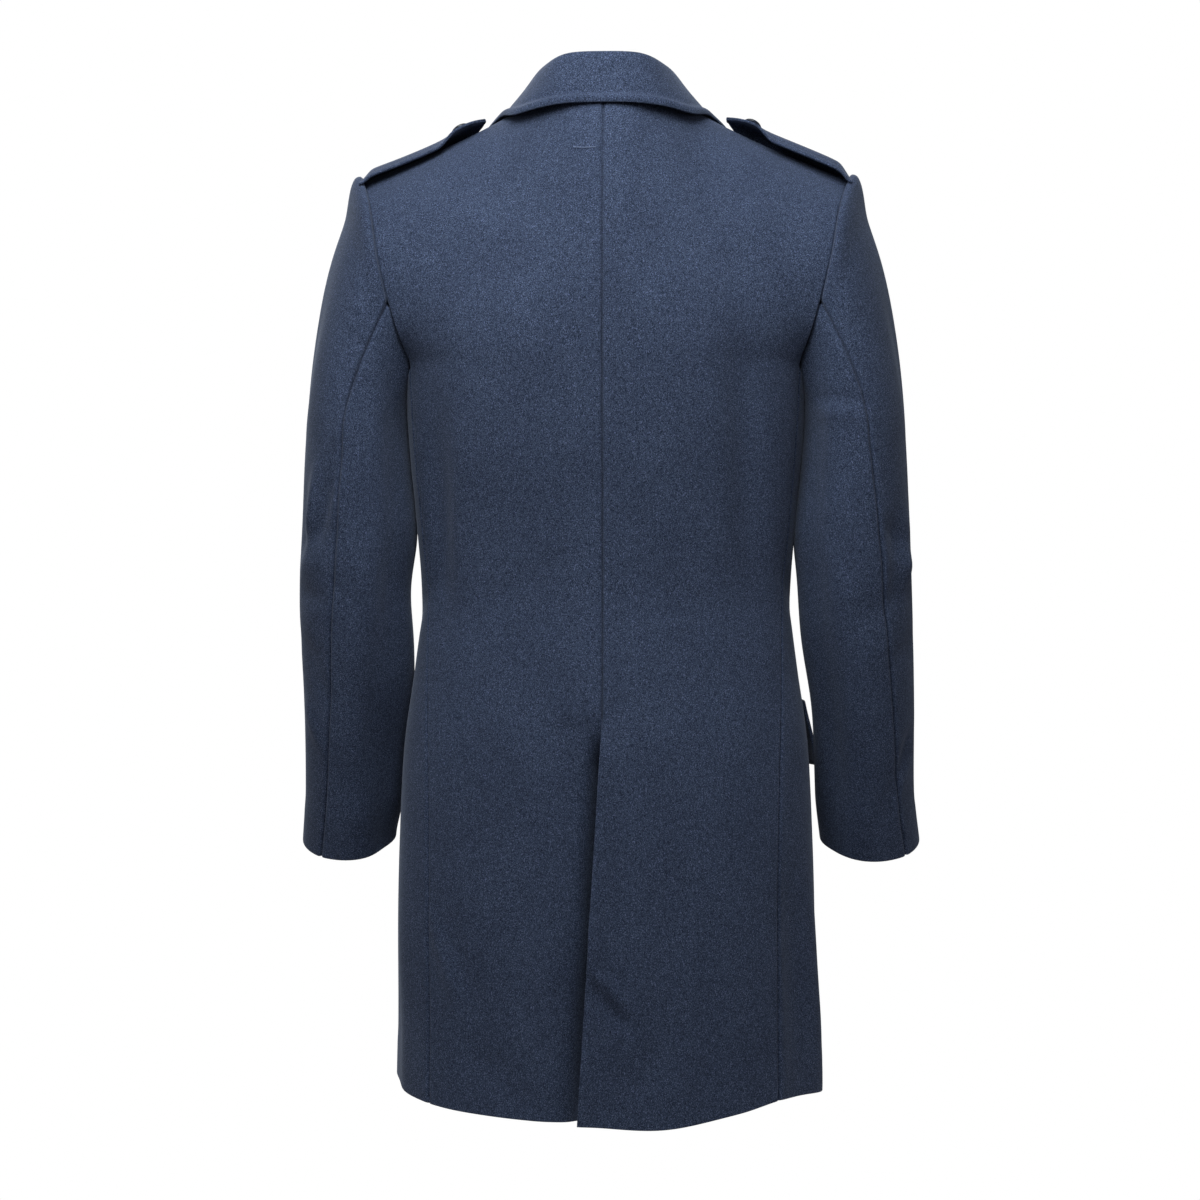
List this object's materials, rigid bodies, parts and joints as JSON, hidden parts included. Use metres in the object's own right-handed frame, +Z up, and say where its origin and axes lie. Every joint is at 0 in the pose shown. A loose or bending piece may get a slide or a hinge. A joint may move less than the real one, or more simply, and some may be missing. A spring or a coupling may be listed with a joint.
{
  "type": "double-breasted overcoat",
  "caption": "Wool double-breasted overcoat with turned-down collar, lapels, shoulder straps, flap pockets and a centre-back vent, in its worn shape, hollow and open at neck, cuffs and hem.",
  "frame": {"origin": "middle of the neck opening: on the centre plane, over the shoulder line, level with the collar seam at the nape", "axes": "+Z up along the length of the coat, the front faces -Y, +X is the wearer's left"},
  "size_m": [0.6247, 0.2992, 1.0374],
  "materials": {
    "coat_wool": "matte melange wool twill",
    "button_horn": "satin"
  },
  "bodies": {
    "root": {"back_left": "coat_wool", "back_right": "coat_wool", "button_left_1": "button_horn", "button_left_2": "button_horn", "button_left_3": "button_horn", "button_right_1": "button_horn", "button_right_2": "button_horn", "button_right_3": "button_horn", "collar_fall": "coat_wool", "collar_stand": "coat_wool", "front_left": "coat_wool", "front_right": "coat_wool", "lapel_left": "coat_wool", "lapel_right": "coat_wool", "pocket_flap_left": "coat_wool", "pocket_flap_right": "coat_wool", "shoulder_strap_left": "coat_wool", "shoulder_strap_right": "coat_wool", "side_left": "coat_wool", "side_right": "coat_wool", "strap_button_left": "button_horn", "strap_button_right": "button_horn", "top_sleeve_left": "coat_wool", "top_sleeve_right": "coat_wool", "under_sleeve_left": "coat_wool", "under_sleeve_right": "coat_wool"}
  },
  "joints": []
}
